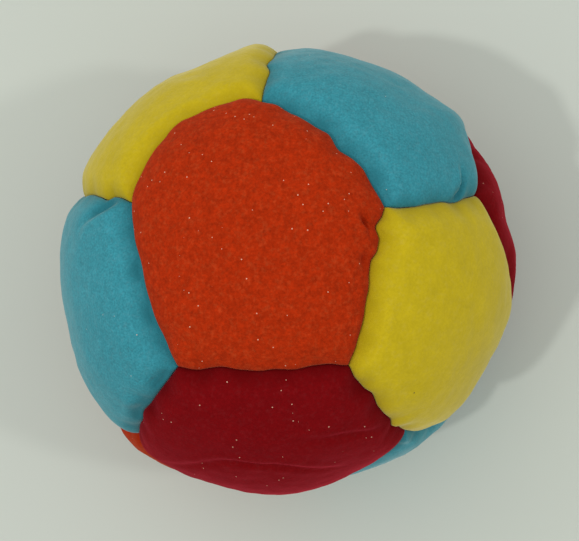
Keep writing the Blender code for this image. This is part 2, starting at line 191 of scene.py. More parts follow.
# Folds that handling has pressed into single panels: degrees down from the top and degrees of the compass
# along each, then its depth and half width in millimetres. Each has a low ridge above it, and its ends fade.
FOLDS = {
    "top": (
        (((29.8, 8.0), (29.0, 10.5), (28.2, 13.0), (27.2, 16.5)), 0.8, 0.4),
        (((29.2, 350.0), (28.2, 352.5), (27.2, 354.5)), 0.45, 0.45),
        (((30.8, 340.0), (31.8, 336.5), (32.5, 333.0)), 0.35, 0.5),
        (((34.0, 322.5), (35.5, 319.5), (37.2, 316.5)), 0.4, 0.5),
    ),
    "upper_left": (
        (((42.5, 162.0), (45.0, 164.5), (48.5, 166.5), (53.0, 170.5)), 0.8, 0.7),
        (((31.5, 184.0), (31.8, 190.0), (31.8, 196.0)), 0.65, 1.1),
        (((31.8, 207.5), (32.6, 212.5), (33.4, 218.5)), 0.65, 1.0),
        (((33.6, 220.5), (34.2, 224.5), (35.2, 228.0)), 0.4, 0.8),
        (((40.0, 233.2), (43.8, 233.5), (48.8, 233.2)), 0.6, 0.7),
        (((55.0, 232.2), (59.5, 231.5), (66.5, 230.8)), 0.6, 0.7),
    ),
    "upper_back_right": ((((57.0, 15.5), (59.8, 18.5), (62.0, 21.5), (63.0, 25.0)), 0.8, 0.5),),
    "upper_right": ((((31.0, 10.5), (32.0, 6.5), (33.4, 4.0)), 0.6, 0.6),),
    "upper_front": (
        (((75.5, 242.0), (62.0, 257.0), (62.0, 270.0), (65.0, 278.0), (73.8, 288.0)), 0.4, 0.6),
        (((53.5, 280.5), (57.0, 292.5), (60.0, 298.0), (64.5, 304.0)), 0.4, 0.6),
    ),
}
# How much shade is painted in a fold's hollow for each millimetre of its depth
FOLD_SHADE = 1.3
FOLD_RIDGE_SHARE = 0.45
FOLD_RIDGE_PLACE = 1.3
FOLD_END_SHARE = 0.06
FOLD_STEPS = 60
FOLD_START = 0.8 * MM

# The sand's unevenness: how many waves, and the shortest and the longest. It starts a way in from the seams.
LUMPS = (14, 6 * MM, 15 * MM)
FINE_LUMPS = (30, 1.6 * MM, 4 * MM)
FINE_LUMP_SHARE = 0.3
LUMP_START = 3 * MM

# The fine folds that run in from a seam
WRINKLE_SPACING = 1.0 * MM
WRINKLE_REACH = 1.6 * MM
WRINKLE_START = 0.6 * MM

# The first seeds of the seams', the fine lumps', the fine folds' and the sand's random draws
SEAM_SEED, FINE_LUMP_SEED, WRINKLE_SEED, SAND_SEED = 100, 50, 1000, 7

# The cloth simulation that presses the suede out over the sand. It runs on sheets enlarged to the size of
# clothes, as the solver is made for. What it finds is scaled back, kept under a limit, and smoothed, but
# along the sheet's rim only in part.
CLOTH_SCALE = 20.0
CLOTH_FRAMES = 20
CLOTH = {
    "quality": 6, "mass": 0.3, "tension_stiffness": 15.0, "compression_stiffness": 15.0,
    "bending_stiffness": 0.8, "shrink_min": -0.012, "use_pressure": True, "uniform_pressure_force": 4.0,
    "vertex_group_mass": "seams",
}
CLOTH_MOST = 0.7 * MM
SHEET_PITCH = 0.9 * MM
SHEET_RINGS = 14
GRIP_REACH = 1.4 * MM
RIM_RINGS = 4
RIM_SMOOTHING = 0.4
SMOOTHINGS = 10

# The table bends the suede over this height, and no face turns by more than this angle in smooth shading
TABLE_BEND = 0.25 * MM
SHARP_ANGLE = math.radians(60)

# The width of a panel's columns and its number of rings, by its tier. Its rings lie evenly by a share, and
# closer together toward its edge by the rest. Its back has few rings.
FINENESS = {
    "top": (0.3 * MM, 56), "upper": (0.38 * MM, 44), "lower": (0.38 * MM, 44), "base": (0.45 * MM, 36),
}
EVEN_SHARE = 0.4
BACK_SHARES = (0.66, 0.48, 0.3, 0.14)

# The thread: its clearances, how fine it is built, and the twist of its two plies
THREAD_CLEARANCE = 0.2 * MM
HOLE_CLEARANCE = 0.25 * MM
THREAD_SIDES = 8
THREAD_STEP = 0.12 * MM
THREAD_ROUNDINGS = 2
PLY_TWIST = 0.9 * MM
PLY_DEPTH = 0.1

FILL_CLEARANCE = 0.3 * MM
GRAIN_ROUGHNESS = 0.06 * MM
SAND_PITCH = 0.9 * MM
SAND_RINGS = 14
WELD_REACH = 0.02 * MM

UPPER_COLOURS = ("red", "yellow", "teal", "yellow", "teal")
UPPER_PLACES = ("front", "right", "back_right", "back_left", "left")
LOWER_COLOURS = ("teal", "red", "orange", "red", "orange")
LOWER_PLACES = ("front_right", "right", "back", "left", "front_left")

# How each suede is finished: the size of the nap's tufts and of the blotches that brushing left, and how far
# they darken the dye; the shares of its cells that hold a grain of sand or a speck of dirt; the bloom of the
# nap seen edge on; its pale tips; and how much of the dye is left in the shade painted deep in a groove.
Finish = namedtuple(
    "Finish", "nap nap_shade mottle mottle_shade grains dirt bloom bloom_colour frost frost_colour deep"
)
FINISHES = {
    "orange": Finish(
        nap=0.28 * MM, nap_shade=0.28, mottle=0.8 * MM, mottle_shade=0.3, grains=0.09, dirt=0.004,
        bloom=0.15, bloom_colour="FFB890", frost=0.07, frost_colour="FF9C58", deep=0.62,
    ),
    "yellow": Finish(
        nap=0.3 * MM, nap_shade=0.1, mottle=1.4 * MM, mottle_shade=0.1, grains=0.002, dirt=0.03,
        bloom=0.42, bloom_colour="F6F2CC", frost=0.02, frost_colour="F4F4F0", deep=0.68,
    ),
    "teal": Finish(
        nap=0.22 * MM, nap_shade=0.3, mottle=0.9 * MM, mottle_shade=0.15, grains=0.006, dirt=0.05,
        bloom=0.3, bloom_colour="E8F6F4", frost=0.03, frost_colour="F0F4F4", deep=0.5,
    ),
    "red": Finish(
        nap=0.28 * MM, nap_shade=0.2, mottle=1.6 * MM, mottle_shade=0.12, grains=0.05, dirt=0.0,
        bloom=0.4, bloom_colour="F04058", frost=0.008, frost_colour="FFD0D4", deep=0.6,
    ),
}
TIPS_TO_NAP = 1.6
BROAD_PATCH = 9 * MM
# The shade painted deep in a groove is the dye raised to this power and dimmed by the finish's deep share
DEEP_POWER = 1.12
GRAIN_COLOUR = (0.9, 0.6, 0.42, 1.0)
DIRT_COLOUR = (0.03, 0.03, 0.03, 1.0)

# The camera looks almost straight down from the front right, and aims a little off the bag's middle
CAMERA_AZIMUTH = math.radians(49.35)
CAMERA_ELEVATION = math.radians(79.7)
CAMERA_ROLL = math.radians(0.74)
CAMERA_DISTANCE = 194 * MM
CAMERA_TARGET_HEIGHT = 21.3 * MM
CAMERA_AIM_RIGHT = 1.0 * MM
CAMERA_AIM_DOWN = 0.4 * MM
CAMERA_NEAREST = 5 * MM
CAMERA_LENS_MM = 108.2
SENSOR_WIDTH_MM = 36.0

# Each lamp's direction of the compass, its height above the horizon and its softness, in degrees, and the way
# to the bright wall, in degrees down from the top and of the compass
KEY_LAMP = (216, 62, 3)
SIDE_LAMP = (352, 45, 5)
BRIGHT_WALL = (75, 130)
FLOOR_SIZE = 4.0


def srgb(code):
    """The linear colour of an sRGB hex code such as D8481C."""
    linear = []
    for i in (0, 2, 4):
        share = int(code[i : i + 2], 16) / 255
        linear.append(share / 12.92 if share <= 0.04045 else ((share + 0.055) / 1.055) ** 2.4)
    return (*linear, 1.0)


def colour_property(name, description, code):
    """A colour that a user may change, whose default is an sRGB hex code."""
    return bpy.props.FloatVectorProperty(
        name=name, description=description, default=srgb(code), subtype="COLOR", size=4, min=0.0, max=1.0
    )


def length_property(name, description, millimetres):
    """A length that a user may change, whose default is given in millimetres."""
    return bpy.props.FloatProperty(
        name=name, description=description, default=millimetres * MM, unit="LENGTH", min=0.0, precision=5
    )


def number_property(name, description, default, **limits):
    """A plain number that a user may change."""
    return bpy.props.FloatProperty(name=name, description=description, default=default, min=0.0, **limits)


class FootbagShape(bpy.types.PropertyGroup):
    """The sizes of the sewn panels"""

    crown: length_property("Crown", "How far a panel's middle stands above its seams", 1.75)
    roll_height: length_property("Roll height", "How high the rolled edge stands above the seam", 1.4)
    roll_reach: length_property("Roll reach", "How far the rolled edge reaches into the panel", 3.0)
    suede: length_property("Suede thickness", "The thickness of the suede", 0.9)
    gap: length_property("Seam gap", "The gap left between two panels at a seam", 0.08)
    bite: length_property("Seam bite", "From the fold down to the needle holes", 0.6)
    hole: length_property("Needle hole", "The width of a needle hole", 0.9)
    raw_margin: length_property("Raw margin", "From the needle holes to the raw edge", 0.8)
    lumps: length_property("Lumps", "How far the sand bulges the suede unevenly", 0.1)
    wrinkles: length_property("Wrinkles", "The height of the fine folds beside a seam", 0.014)
    thread: length_property("Thread", "The diameter of the waxed thread", 0.4)
    knot: length_property("Knot", "The diameter of a knot", 0.8)
    pinch: number_property(
        "Stitch pinch", "The share of the rolled edge's height that a stitch pulls down", 0.36,
        subtype="FACTOR", max=1.0,
    )


class FootbagColours(bpy.types.PropertyGroup):
    """The colours of the suede, the thread, the sand and the floor"""

    orange: colour_property("Orange", "Suede of the top panel", "BF320A")
    yellow: colour_property("Yellow", "Suede of the yellow panels", "C7B01B")
    teal: colour_property("Teal", "Suede of the teal panels", "3E9AA8")
    red: colour_property("Red", "Suede of the red panels", "7A070C")
    thread: colour_property("Thread", "Waxed polyester thread", "D9D2BE")
    sand: colour_property("Sand", "Fine play sand", "C6B28E")
    floor: colour_property("Floor", "Pale table top", "C3C9BF")


class FootbagLight(bpy.types.PropertyGroup):
    """The soft light round the bag"""

    sky: number_property("Sky", "Strength of the even light from all round", 0.8)
    key: number_property("Key", "Strength of the lamp from the front left", 0.6)
    side: number_property("Side", "Strength of the lower lamp from the right", 0.42)


def toward(angle_down, compass):
    """The unit direction at an angle down from the top and a compass angle."""
    flat = math.sin(angle_down)
    return np.array((flat * math.cos(compass), flat * math.sin(compass), math.cos(angle_down)))


def unit(vectors):
    """Vectors scaled to unit length."""
    return vectors / np.linalg.norm(vectors, axis=-1, keepdims=True)


def smooth(share):
    """An ease from 0 to 1 between 0 and 1, and flat outside."""
    share = np.clip(share, 0.0, 1.0)
    return share * share * (3 - 2 * share)


def eased(at, table):
    """Values at places along a table of (place, value) pairs, eased from pair to pair."""
    places, values = np.array(table, float).T
    i = np.clip(np.searchsorted(places, at, side="right") - 1, 0, len(places) - 2)
    return values[i] + (values[i + 1] - values[i]) * smooth((at - places[i]) / (places[i + 1] - places[i]))


def ripple(at, seed):
    """Random values between -1 and 1 along a line, one for each whole place, eased from one to the next."""
    values = np.random.default_rng(seed).uniform(-1, 1, math.ceil(at.max()) + 2)
    return eased(at, list(enumerate(values)))


def waves(points, seed, count, shortest, longest):
    """A random unevenness of the surface, about -1 to 1, with features between two sizes."""
    random = np.random.default_rng(seed)
    ways = unit(random.normal(size=(count, 3)))
    lengths = shortest * (longest / shortest) ** random.random(count)
    phases = random.random(count) * 2 * math.pi
    return np.sin(points @ (ways * (2 * math.pi / lengths)[:, None]).T + phases).sum(1) / math.sqrt(count)


def curve_through(values, at, closed):
    """Values between the entries of a list, on a smooth curve through them."""
    i = np.floor(at).astype(int)
    t = (np.asarray(at) - i)[..., None]
    count = len(values)
    before, start, end, after = (
        values[(i + k) % count if closed else np.clip(i + k, 0, count - 1)] for k in (-1, 0, 1, 2)
    )
    third = 3 * (start - end) + after - before
    return start + t / 2 * (end - before + t * (2 * before - 5 * start + 4 * end - after + t * third))


def between(start, end, share):
    """Unit directions part of the way along the arcs from some directions to others."""
    angle = np.arccos(np.clip((start * end).sum(-1, keepdims=True), -1, 1))
    share = np.asarray(share)[..., None]
    return (start * np.sin((1 - share) * angle) + end * np.sin(share * angle)) / np.sin(angle)


class Net:
    """The slumped surface that the seams lie in."""

    def __init__(self):
        angle = np.linspace(0, math.pi / 2, MERIDIAN_STEPS)
        sine, cosine = np.sin(angle), np.cos(angle)
        upper, lower = 2 / TOP_FULLNESS, 2 / BASE_FULLNESS
        rise = BAG_HEIGHT - NET_CROWN - WAIST_HEIGHT
        drop = WAIST_HEIGHT - BASE_LIFT_SHARE * NET_CROWN
        self.radii = HALF_WIDTH * np.concatenate([sine**upper, cosine[1:] ** lower])
        self.heights = WAIST_HEIGHT + np.concatenate([rise * cosine**upper, -drop * sine[1:] ** lower])
        steps = np.hypot(np.diff(self.radii), np.diff(self.heights))
        self.runs = np.concatenate([[0.0], np.cumsum(steps)])

    def at(self, directions):
        """Points and outward normals of the net in unit directions of the regular solid."""
        whole = self.runs[-1]
        run = np.arccos(np.clip(directions[..., 2], -1, 1)) / math.pi * whole
        compass = np.arctan2(directions[..., 1], directions[..., 0])
        step = whole / MERIDIAN_STEPS
        ahead, behind = np.minimum(run + step, whole), np.maximum(run - step, 0.0)
        out = np.interp(ahead, self.runs, self.radii) - np.interp(behind, self.runs, self.radii)
        down = np.interp(behind, self.runs, self.heights) - np.interp(ahead, self.runs, self.heights)
        down = np.where((behind == 0.0) | (ahead == whole), 0.0, down)
        out, down = out / np.hypot(out, down), down / np.hypot(out, down)
        radius, height = np.interp(run, self.runs, self.radii), np.interp(run, self.runs, self.heights)
        cosine, sine = np.cos(compass), np.sin(compass)
        points = np.stack([radius * cosine, radius * sine, height], -1)
        normals = np.stack([down * cosine, down * sine, out], -1)
        return points, normals


def rounded_swell():
    """The waist's swell in millimetres at each whole degree of the compass."""
    places, values = np.array(WAIST_SWELL, float).T
    swell = np.interp(np.arange(-SWELL_ROUNDING, 361 + SWELL_ROUNDING), places, values, period=360)
    window = np.hanning(SWELL_ROUNDING + 2)
    return np.convolve(swell, window / window.sum(), "same")[SWELL_ROUNDING:-SWELL_ROUNDING]


def settled(points, least):
    """Points pushed out of round at the waist, and pressed flat where they would sink below a height."""
    moved = points.copy()
    compass = np.degrees(np.arctan2(points[:, 1], points[:, 0])) % 360
    from_middle = np.hypot(points[:, 0], points[:, 1]) / HALF_WIDTH
    swell = np.interp(compass, np.arange(361), SWELL) * MM / HALF_WIDTH
    swell = 1 + swell * np.minimum(from_middle, SWELL_REACH_SHARE) ** 2
    moved[:, :2] *= swell[:, None]
    above = moved[:, 2] - least
    bend = (above + TABLE_BEND) ** 2 / (4 * TABLE_BEND)
    moved[:, 2] = least + np.where(above > TABLE_BEND, above, np.where(above > -TABLE_BEND, bend, 0.0))
    return moved


class Seam:
    """One sewn line: where it runs, how it wanders and leans to its left, and how hard its stitches pull."""

    def __init__(self, start, end, bow, wander, lean, depth_share, outer_power, seed):
        self.start, self.end, self.bow, self.lean = start, end, bow, lean
        self.depth_share, self.outer_power = depth_share, outer_power
        self.wander = ((0.0, 0.0), *wander, (1.0, 0.0))
        self.shares = np.linspace(0, 1, SEAM_STEPS)
        self.points, normals = NET.at(self.direction(self.shares))
        along = np.gradient(self.points, axis=0)
        self.step = np.linalg.norm(along, axis=1)
        self.along = unit(along)
        self.left = unit(np.cross(normals, self.along))
        self.length = self.step[1:].sum()
        pulls = np.random.default_rng(seed).uniform(LOOSEST_PULL, TIGHTEST_PULL, STITCHES_PER_SEAM)
        self.pulls = depth_share * pulls

    def direction(self, share):
        """The direction of the points at shares of the way along."""
        left = unit(np.cross(self.start, self.end))
        angle = math.acos(float(self.start @ self.end))
        rise = self.bow * angle * np.sin(math.pi * np.asarray(share))
        return unit(between(self.start, self.end, share) + left * rise[..., None])

    def near(self, points):
        """For each point, the share of the seam that is nearest, and its distance."""
        gaps = points[:, None, :].astype(np.float32) - self.points[None].astype(np.float32)
        i = (gaps * gaps).sum(-1).argmin(1)
        ahead = ((points - self.points[i]) * self.along[i]).sum(1)
        ahead = np.clip(ahead, -self.step[i] / 2, self.step[i] / 2)
        ahead = np.where((i == 0) | (i == SEAM_STEPS - 1), 0.0, ahead)
        foot = self.points[i] + self.along[i] * ahead[:, None]
        share = np.clip(self.shares[i] + ahead / self.length, 0, 1)
        return share, np.linalg.norm(points - foot, axis=1)

    def left_at(self, share):
        """The way to the seam's left at shares of its length."""
        return self.left[np.rint(share * (SEAM_STEPS - 1)).astype(int)]

    def shift(self, share, lift):
        """How far the lips stand to the seam's left, at shares of its length and heights in roll heights."""
        wander = WANDER_AT_NET_SHARE + (1 - WANDER_AT_NET_SHARE) * np.clip(lift, -1, 1)
        lean = np.sin(math.pi * share) ** LEAN_POWER * np.clip(lift, *LEAN_LIFTS)
        return eased(share, self.wander) * MM * wander + self.lean * MM * lean

    def depth(self, share):
        """How deep the seam is drawn in at shares of its length: wholly at its ends."""
        return 1 - (1 - self.depth_share) * np.sin(math.pi * share) ** DEPTH_POWER

    def pull(self, share):
        """How hard the stitches pull the lips down at shares of the length."""
        total = np.zeros_like(share)
        for at, strength in zip(STITCH_SHARES, self.pulls):
            total += strength * np.exp(-(((share - at) * self.length / PULL_WIDTH) ** 2))
        return total


def corner_directions():
    """The twenty corners, by tier and place round the bag."""
    tiers = (
        ("top", TOP_TIER, FIRST_BETWEEN, TOP_DRIFT),
        ("upper", UPPER_TIER, FIRST_BETWEEN, UPPER_DRIFT),
        ("lower", math.pi - UPPER_TIER, FIRST_FRONT, LOWER_DRIFT),
        ("base", math.pi - TOP_TIER, FIRST_FRONT, ((0.0, 0.0),) * SIDES),
    )
    corners = {}
    for tier, down, first, drifts in tiers:
        for k, (round_by, down_by) in enumerate(drifts):
            compass = first + k * TURN + math.radians(round_by)
            corners[tier, k] = toward(down + math.radians(down_by), compass)
    return corners


def panel_plan():
    """Each panel's name, colour and five corners, in order round its outer face."""
    plan = {"top": ("orange", [("top", k) for k in range(SIDES)])}
    for k in range(SIDES):
        before = (k - 1) % SIDES
        loop = [("top", before), ("upper", before), ("lower", k), ("upper", k), ("top", k)]
        plan[f"upper_{UPPER_PLACES[k]}"] = (UPPER_COLOURS[k], loop)
    for k in range(SIDES):
        after = (k + 1) % SIDES
        loop = [("upper", k), ("lower", k), ("base", k), ("base", after), ("lower", after)]
        plan[f"lower_{LOWER_PLACES[k]}"] = (LOWER_COLOURS[k], loop)
    plan["base"] = ("yellow", [("base", k) for k in reversed(range(SIDES))])
    return plan


def sides(loop):
    """The pairs of corners at the ends of a panel's sides."""
    return list(zip(loop, loop[1:] + loop[:1]))


def stray(seed):
    """A small random wander and lean, a full depth and a plain roll, for a seam that isn't in sight."""
    random = np.random.default_rng(seed)
    count = len(STRAY_PLACES)
    places = STRAY_PLACES + random.uniform(-STRAY_JITTER, STRAY_JITTER, count)
    wander = tuple(zip(places, random.uniform(-STRAY_WANDER, STRAY_WANDER, count)))
    return wander, random.uniform(-STRAY_LEAN, STRAY_LEAN), 1.0, ROLL_POWER


def known_seam(side):
    """A seam's bow, wander and lean to the left, depth and outer roll from the tables above, or None."""
    for k in range(SIDES):
        if side == (("top", k), ("top", (k + 1) % SIDES)):
            turned = tuple((share, -out) for share, out in TOP_WANDER[k])
            return -TOP_BOW_SHARES[k], turned, -TOP_LEAN[k], TOP_DEPTH_SHARES[k], TOP_OUTER_POWERS[k]
        if side == (("top", k), ("upper", k)):
            return SIDE_BOW_SHARES[k], SIDE_WANDER[k], SIDE_LEAN[k], SIDE_DEPTH_SHARES[k], ROLL_POWER
        before, after = WAIST_SAG_SHARES[k]
        if side == (("upper", (k - 1) % SIDES), ("lower", k)):
            return (-before, *stray(2 * k))
        if side == (("upper", k), ("lower", k)):
            wander, *rest = stray(2 * k + 1)
            return (after, WAIST_WANDER.get(k, wander), *rest)
    return None


def sew():
    """Every seam once, by the pair of corners that it joins."""
    seams = {}
    for _, loop in PLAN.values():
        for side in sides(loop):
            if side in seams or side[::-1] in seams:
                continue
            if known_seam(side[::-1]):
                side = side[::-1]
            seed = SEAM_SEED + len(seams)
            known = known_seam(side) or (0.0, *stray(seed))
            seams[side] = Seam(*(CORNERS[corner] for corner in side), *known, seed)
    return seams


NET = Net()
SWELL = rounded_swell()
PLAN = panel_plan()
CORNERS = corner_directions()
SEAMS = sew()


def seam_key(side):
    """The pair of corners that a side's seam is kept by, which may run the other way."""
    return side if side in SEAMS else side[::-1]


def stitch_hold(fields, reach):
    """How hard the stitches hold points of the net, which fades over a reach."""
    return sum(seam.pull(at) * np.exp(-((gap / reach) ** 2)) for seam, _, at, gap in fields)


class Fold:
    """A fold pressed into a panel: a groove with a low ridge on its upper side."""

    def __init__(self, places, depth, width):
        steps = np.linspace(0, len(places) - 1, FOLD_STEPS)
        line = curve_through(np.radians(np.array(places)), steps, False)
        self.points = NET.at(np.array([toward(down, compass) for down, compass in line]))[0]
        self.depth, self.width = depth * MM, width * MM

    def near(self, points):
        """How far points of the net lie above the fold, in half widths, and how strong the fold is there."""
        gaps = np.linalg.norm(points[:, None] - self.points[None], axis=2)
        i = gaps.argmin(1)
        above = np.sign(points[:, 2] - self.points[i, 2]) * gaps.min(1) / self.width
        along = FOLD_END_SHARE + (1 - 2 * FOLD_END_SHARE) * i / (FOLD_STEPS - 1)
        return above, np.sin(math.pi * along)

    def height(self, points):
        """How far the fold lifts points of the net."""
        above, strength = self.near(points)
        ridge = FOLD_RIDGE_SHARE * np.exp(-((above - FOLD_RIDGE_PLACE) ** 2))
        return self.depth * strength * (ridge - np.exp(-(above**2)))

    def shade(self, points):
        """How much shade is painted on points of the net in the fold's hollow."""
        above, strength = self.near(points)
        return FOLD_SHADE * self.depth / MM * strength * np.exp(-(above**2))


Columns = namedtuple("Columns", "ways places holes")
PRESSED = {}


class Panel:
    """One panel's middle, its five seams in order, and the fields that shape its suede."""

    def __init__(self, name, shape):
        self.name, self.shape = name, shape
        self.colour, loop = PLAN[name]
        self.seed = list(PLAN).index(name)
        self.middle = unit(sum(CORNERS[key] for key in loop))
        self.edges = [(SEAMS[seam_key(side)], side in SEAMS) for side in sides(loop)]
        centre = NET.at(self.middle)[0]
        self.apothem = np.mean([seam.near(centre[None])[1][0] for seam, _ in self.edges])
        self.folds = [Fold(*fold) for fold in FOLDS.get(name, ())]
        self.edge_share = self.inset(shape.gap / 2)
        self.sheet_counts = np.array([max(6, round(seam.length / SHEET_PITCH)) for seam, _ in self.edges])
        self.sheet_starts = np.cumsum(self.sheet_counts) - self.sheet_counts
        self.pressed = PRESSED.get(name)

    def inset(self, distance):
        """The share of the way out that lies this far in from the seams."""
        return 1 - distance / self.apothem

    def columns_at(self, places, holes=()):
        """Columns at places round the panel, each the number of a seam plus a share of its length, of which
        some start a needle hole."""
        ways = []
        for edge, (seam, forward) in enumerate(self.edges):
            shares = places[places.astype(int) == edge] - edge
            ways += list(seam.direction(shares if forward else 1 - shares))
        return Columns(np.array(ways), places, set(holes))

    def columns(self, pitch, with_holes):
        """Columns a pitch apart round the panel, with one at each side of each needle hole."""
        places, holes = [], []
        for edge, (seam, _) in enumerate(self.edges):
            half = self.shape.hole / 2 / seam.length
            sides_of_holes = [at + side for at in STITCH_SHARES for side in (-half, half)]
            breaks = [0.0, *(sides_of_holes if with_holes else ()), 1.0]
            for i, (a, b) in enumerate(zip(breaks, breaks[1:])):
                count = max(2, round((b - a) * seam.length / pitch))
                if i % 2 == 1:
                    holes.append(len(places))
                    count = 1
                places += [edge + (a + (b - a) * n / count) for n in range(count)]
        return self.columns_at(np.array(places), holes)

    def fields(self, points):
        """Each seam's nearest share and distance, for points on the net."""
        return [(seam, forward, *seam.near(points)) for seam, forward in self.edges]

    def groove(self, points, fields):
        """How much shade is painted on points of the net in a seam's or a fold's hollow: more at the
        stitches.
        """
        edge = np.min([gap for _, _, _, gap in fields], axis=0)
        shade = SEAM_SHADE + STITCH_SHADE * stitch_hold(fields, PULL_REACH)
        shade *= np.maximum(1 - edge / GROOVE_REACH, 0)
        if self.name == "top":
            shade *= TOP_RIM_SHADE_SHARE
        return np.clip(shade + sum(fold.shade(points) for fold in self.folds), 0, 1)

    def height(self, points, fields, share, fine):
        """The suede's height above the net. The share runs from the panel's middle to its edge."""
        shape = self.shape
        weights = np.array([np.maximum(gap, 1e-6) for _, _, _, gap in fields]) ** -CORNER_BLEND
        edge = weights.sum(0) ** (-1 / CORNER_BLEND)
        depths = np.array([seam.depth(at) for seam, _, at, _ in fields])
        powers = np.array([[ROLL_POWER if forward else seam.outer_power] for seam, forward, _, _ in fields])
        depth = (weights * depths).sum(0) / weights.sum(0)
        power = (weights * powers).sum(0) / weights.sum(0)
        lip = np.clip(edge / shape.roll_reach, 0, 1)
        roll = shape.roll_height * (1 - depth * (1 - (1 - (1 - lip) ** 2) ** power))
        crown = (shape.crown - shape.roll_height) * (1 - share**2)
        pinch = shape.pinch * np.clip(stitch_hold(fields, PULL_REACH), 0, MOST_PULL)
        height = roll * (1 - pinch) + crown
        if not fine:
            return height
        away = smooth(edge / LUMP_START)
        height += shape.lumps * away * waves(points, self.seed, *LUMPS)
        fine_lumps = waves(points, self.seed + FINE_LUMP_SEED, *FINE_LUMPS)
        height += FINE_LUMP_SHARE * shape.lumps * away * fine_lumps
        for i, (seam, _, at, gap) in enumerate(fields):
            folds = ripple(at * seam.length / WRINKLE_SPACING, WRINKLE_SEED + 10 * self.seed + i)
            height += shape.wrinkles * folds * np.exp(-gap / WRINKLE_REACH) * smooth(gap / WRINKLE_START)
        return height + sum(fold.height(points) for fold in self.folds) * smooth(edge / FOLD_START)

    def shifted(self, points, fields, height):
        """The points with each seam's wander and lean, which fade with the distance from it."""
        lift = height / self.shape.roll_height
        moved = points.copy()
        for seam, _, at, gap in fields:
            fade = 1 - smooth(gap / SHIFT_REACH)
            moved += seam.left_at(at) * (seam.shift(at, lift) * fade)[:, None]
        return moved

    def row(self, columns, share, height=None, sink=0.0, fine=False):
        """A ring of points at a share of the way out, and how much shade is painted on each for lying in a
        seam's or fold's hollow. The ring is at a given height, or under the suede's face by a sink."""
        points, normals = NET.at(between(self.middle, columns.ways, share))
        fields = self.fields(points)
        if height is None:
            height = self.height(points, fields, share, fine) - sink
        heights = np.broadcast_to(height, len(points))
        moved = self.shifted(points, fields, heights) + normals * heights[:, None]
        if self.pressed is not None:
            moved += self.pressed_out(columns.places, share)
        return settled(moved, sink), self.groove(points, fields)

    def pressed_out(self, places, share):
        """How far the simulation moved the suede at places round the panel, a share of the way out."""
        row = curve_through(self.pressed, min(share / self.edge_share, 1.0) * SHEET_RINGS, False)
        edge = places.astype(int)
        return curve_through(row, self.sheet_starts[edge] + (places - edge) * self.sheet_counts[edge], True)


def add_object(name, data):
    """A new object in the scene."""
    made = bpy.data.objects.new(name, data)
    bpy.context.scene.collection.objects.link(made)
    return made


def add_mesh(name, vertices, faces, *materials):
    """A new object in the scene, made of faces."""
    mesh = bpy.data.meshes.new(name)
    mesh.from_pydata([tuple(vertex) for vertex in vertices], [], faces)
    for material in materials:
        mesh.materials.append(material)
    return add_object(name, mesh)


def put_in_scene(name, vertices, faces, material, node):
    """A closed mesh as a piece that stands for one of the frame's nodes."""
    piece = add_mesh(name, vertices, faces, material)
    piece.data.shade_smooth()
    piece.data.set_sharp_from_angle(angle=SHARP_ANGLE)
    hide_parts(node)
    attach(piece, "root")
    return piece


def shell_faces(rows, columns, closed=True, holes=(), hole_rows=()):
    """Quads from row to row of a shell, with a fan at its start and, if it is closed, at its end, and four
    walls in each needle hole."""
    ring = [(c, (c + 1) % columns) for c in range(columns)]
    starts = [1 + r * columns for r in range(rows)]
    faces = [(0, 1 + c, 1 + n) for c, n in ring]
    for r, (low, high) in enumerate(zip(starts, starts[1:])):
        whole = [(c, n) for c, n in ring if r not in hole_rows or c not in holes]
        faces += [(low + c, high + c, high + n, low + n) for c, n in whole]
    if closed:
        faces += [(starts[-1] + n, starts[-1] + c, starts[-1] + columns) for c, n in ring]
    for c in holes:
        corners = ((0, c), (1, c), (1, (c + 1) % columns), (0, (c + 1) % columns))
        face = [starts[hole_rows[0] + down] + i for down, i in corners]
        back = [starts[hole_rows[1] + 1 - down] + i for down, i in corners]
        faces += [(face[k], face[m], back[m], back[k]) for k, m in ((0, 1), (1, 2), (2, 3), (3, 0))]
    return faces


def coarse_sheet(panel):
    """The panel's suede as a coarse sheet: its points, its faces and how its seams hold each point."""
    places = [edge + np.arange(count) / count for edge, count in enumerate(panel.sheet_counts)]
    columns = panel.columns_at(np.concatenate(places))
    points, grips = [panel.row(columns, 0.0)[0][0]], [0.0]
    for ring in range(1, SHEET_RINGS + 1):
        share = panel.edge_share * ring / SHEET_RINGS
        points += list(panel.row(columns, share)[0])
        on_net = NET.at(between(panel.middle, columns.ways, share))[0]
        hold = np.clip(stitch_hold(panel.fields(on_net), GRIP_REACH), 0, 1)
        grips += list(np.ones_like(hold) if ring == SHEET_RINGS else hold)
    return np.array(points), shell_faces(SHEET_RINGS, len(columns.places), closed=False), grips


